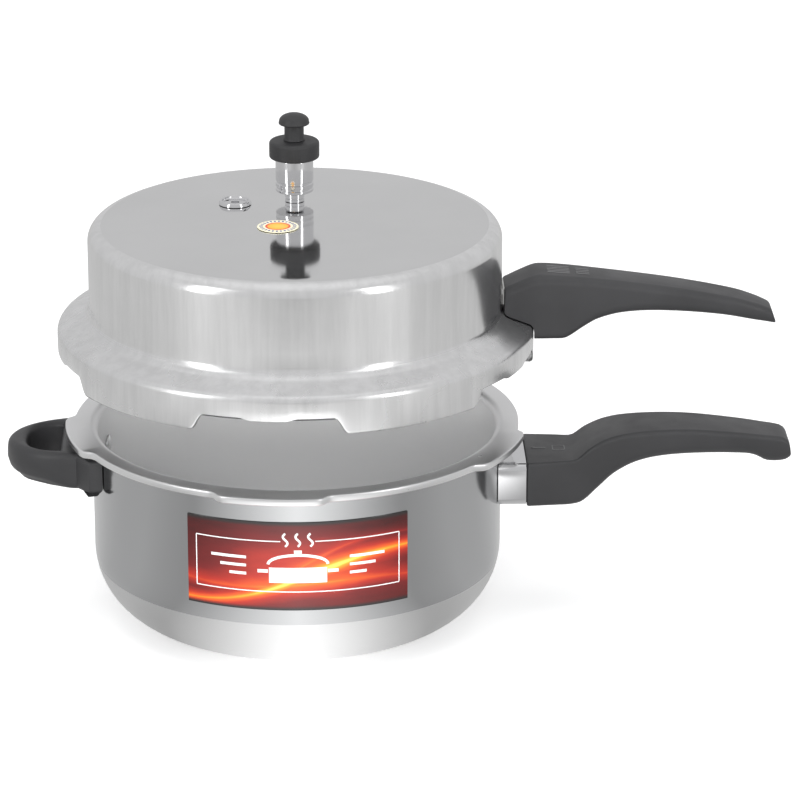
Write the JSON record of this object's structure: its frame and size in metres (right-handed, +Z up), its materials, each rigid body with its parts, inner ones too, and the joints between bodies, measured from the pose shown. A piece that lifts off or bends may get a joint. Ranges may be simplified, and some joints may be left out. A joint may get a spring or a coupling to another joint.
{
  "type": "stovetop pressure cooker",
  "caption": "Polished stovetop pressure cooker with a raised twist-lock outer lid, sealing ring, long and helper handles, vent weight and safety plug.",
  "frame": {"origin": "centre of the pan's flat underside, on the pan's axis", "axes": "+Z up along the pan's axis, +X along the long handles, -Y towards the front label"},
  "size_m": [0.423, 0.2546, 0.268],
  "materials": {
    "pot_aluminium": "mirror-polished wall, satin inside, fine turned brushing on the base band",
    "lid_aluminium": "polished outside with fine turned lines on the top, satin skirt",
    "rivet_aluminium": "bright, slightly hammered",
    "bright_steel": "bright polished stainless steel",
    "zinc_steel": "plain zinc plate",
    "handle_phenolic": "moulded phenolic, satin with a faint grain",
    "weight_phenolic": "moulded phenolic, matt",
    "ring_rubber": "matt food-grade rubber",
    "fusible_alloy": "dull cast alloy",
    "label_print": "glossy printed film, dark red with an orange glow",
    "sticker_paper": "printed paper, satin"
  },
  "bodies": {
    "pot": {"pot_body": "pot_aluminium", "body_rivet_front": "rivet_aluminium", "body_rivet_back": "rivet_aluminium", "helper_rivet_front": "rivet_aluminium", "helper_rivet_back": "rivet_aluminium", "body_ferrule": "bright_steel", "body_bracket": "zinc_steel", "helper_bracket": "zinc_steel", "body_handle_screw": "zinc_steel", "body_handle_nut": "zinc_steel", "helper_screw": "zinc_steel", "body_handle": "handle_phenolic", "helper_handle": "handle_phenolic", "front_label": "label_print"},
    "gasket": {"sealing_ring": "ring_rubber"},
    "lid": {"lid_shell": "lid_aluminium", "lid_bracket": "zinc_steel", "lid_rivet_front": "rivet_aluminium", "lid_rivet_back": "rivet_aluminium", "lid_handle": "handle_phenolic", "lid_handle_screw": "zinc_steel", "lid_handle_nut": "zinc_steel", "test_sticker": "sticker_paper", "vent_tube": "bright_steel", "vent_nut": "zinc_steel", "vent_washer": "ring_rubber", "safety_plug": "bright_steel", "safety_nut": "zinc_steel", "safety_washer": "ring_rubber", "fusible_insert": "fusible_alloy"},
    "weight": {"weight_body": "bright_steel", "weight_cap": "weight_phenolic", "weight_knob": "weight_phenolic", "weight_needle": "bright_steel"}
  },
  "joints": [
    {"name": "lid_lift", "type": "slide", "parent": "pot", "child": "gasket", "axis": [0, 0, 1], "range_m": [-0.042, 0.05]},
    {"name": "lid_turn", "type": "hinge", "parent": "gasket", "child": "lid", "pos_m": [0, 0, 0.15], "axis": [0, 0, 1], "range_deg": [0, 36]},
    {"name": "weight_lift", "type": "slide", "parent": "lid", "child": "weight", "axis": [0, 0, 1], "range_m": [0, 0.03]}
  ]
}
